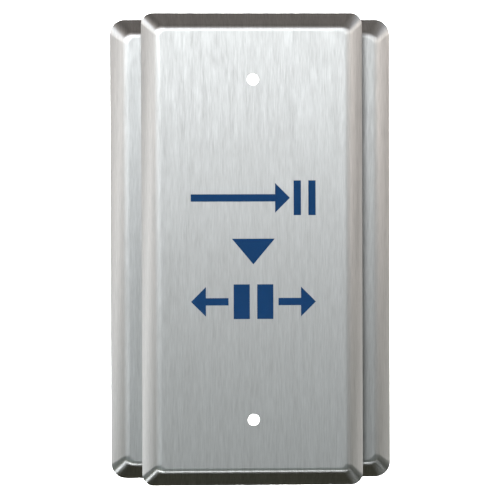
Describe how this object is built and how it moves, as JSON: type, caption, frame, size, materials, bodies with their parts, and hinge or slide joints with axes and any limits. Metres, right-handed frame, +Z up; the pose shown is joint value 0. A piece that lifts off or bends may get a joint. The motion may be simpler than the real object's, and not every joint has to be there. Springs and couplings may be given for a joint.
{
  "type": "push plate switch",
  "caption": "Wall-mounted stainless push plate that closes a switch when pressed, to open an automatic door.",
  "frame": {"origin": "centre of the back plate's outline, on the plane of its rim, which lies on the wall", "axes": "+Z up the plate, +X to the right as seen from the front, +Y into the wall; the front faces -Y"},
  "size_m": [0.0698, 0.0319, 0.1166],
  "materials": {
    "brushed_stainless": "stainless sheet, straight brushed grain along the plate",
    "blue_enamel": "paint fill in the etched symbols",
    "plain_stainless": "turned stainless steel",
    "spring_steel": "stainless spring wire and strip",
    "zinc_plated_steel": "bright zinc plating",
    "acetal": "natural white, moulded",
    "nylon": "blue nylon ring",
    "silicone_rubber": "black, moulded",
    "phenolic": "black, moulded",
    "red_polyester": "red, moulded",
    "tinned_brass": "tin plated",
    "copper_alloy": "rolled strip",
    "silver": "contact silver"
  },
  "bodies": {
    "back": {"back_plate": "brushed_stainless", "guide_bush_upper_left": "acetal", "guide_bush_upper_right": "acetal", "guide_bush_lower_left": "acetal", "guide_bush_lower_right": "acetal", "return_spring_upper_left": "spring_steel", "return_spring_upper_right": "spring_steel", "return_spring_lower_left": "spring_steel", "return_spring_lower_right": "spring_steel", "travel_bumper_upper_left": "silicone_rubber", "travel_bumper_upper_right": "silicone_rubber", "travel_bumper_lower_left": "silicone_rubber", "travel_bumper_lower_right": "silicone_rubber", "switch_bracket": "zinc_plated_steel", "bracket_screws": "zinc_plated_steel", "bracket_nuts": "zinc_plated_steel", "switch_screws": "zinc_plated_steel", "switch_nuts": "zinc_plated_steel", "switch_case": "phenolic", "switch_cover": "phenolic", "lever_pivot_pin": "plain_stainless", "terminal_common": "tinned_brass", "terminal_normally_open": "tinned_brass", "terminal_normally_closed": "tinned_brass", "fixed_contacts": "silver"},
    "push": {"push_plate": "brushed_stainless", "symbol_infill": "blue_enamel", "guide_stud_upper_left": "plain_stainless", "guide_stud_upper_right": "plain_stainless", "guide_stud_lower_left": "plain_stainless", "guide_stud_lower_right": "plain_stainless", "stud_washers": "zinc_plated_steel", "stud_lock_nuts": "zinc_plated_steel", "lock_nut_inserts": "nylon"},
    "lever": {"switch_lever": "spring_steel", "roller_pin": "plain_stainless"},
    "roller": {"lever_roller": "acetal"},
    "plunger": {"switch_plunger": "red_polyester"},
    "blade": {"contact_blade": "copper_alloy", "moving_contact": "silver"}
  },
  "joints": [
    {"name": "push_slide", "type": "slide", "parent": "back", "child": "push", "axis": [0, 1, 0], "range_m": [0, 0.0025], "stiffness_N_per_m": 3000, "springref_m": -0.002, "deforming": ["return_spring_upper_left", "return_spring_upper_right", "return_spring_lower_left", "return_spring_lower_right"]},
    {"name": "lever_pivot", "type": "hinge", "parent": "back", "child": "lever", "pos_m": [0, -0.0072, -0.0115], "axis": [-1, 0, 0], "range_deg": [0, 7.3]},
    {"name": "roller_spin", "type": "hinge", "parent": "lever", "child": "roller", "pos_m": [0, -0.01195, 0.008], "axis": [1, 0, 0], "continuous": true},
    {"name": "plunger_slide", "type": "slide", "parent": "back", "child": "plunger", "axis": [0, 1, 0], "range_m": [0, 0.00083]},
    {"name": "blade_pivot", "type": "hinge", "parent": "back", "child": "blade", "pos_m": [0, 0.001, 0.0095], "axis": [1, 0, 0], "range_deg": [0, 3.3]}
  ],
  "couplings": [
    {"joint": "lever_pivot", "follows": "push_slide", "rad_per_m": 50.638},
    {"joint": "plunger_slide", "follows": "push_slide", "ratio": 0.33019},
    {"joint": "blade_pivot", "follows": "push_slide", "rad_per_m": 22.771}
  ]
}
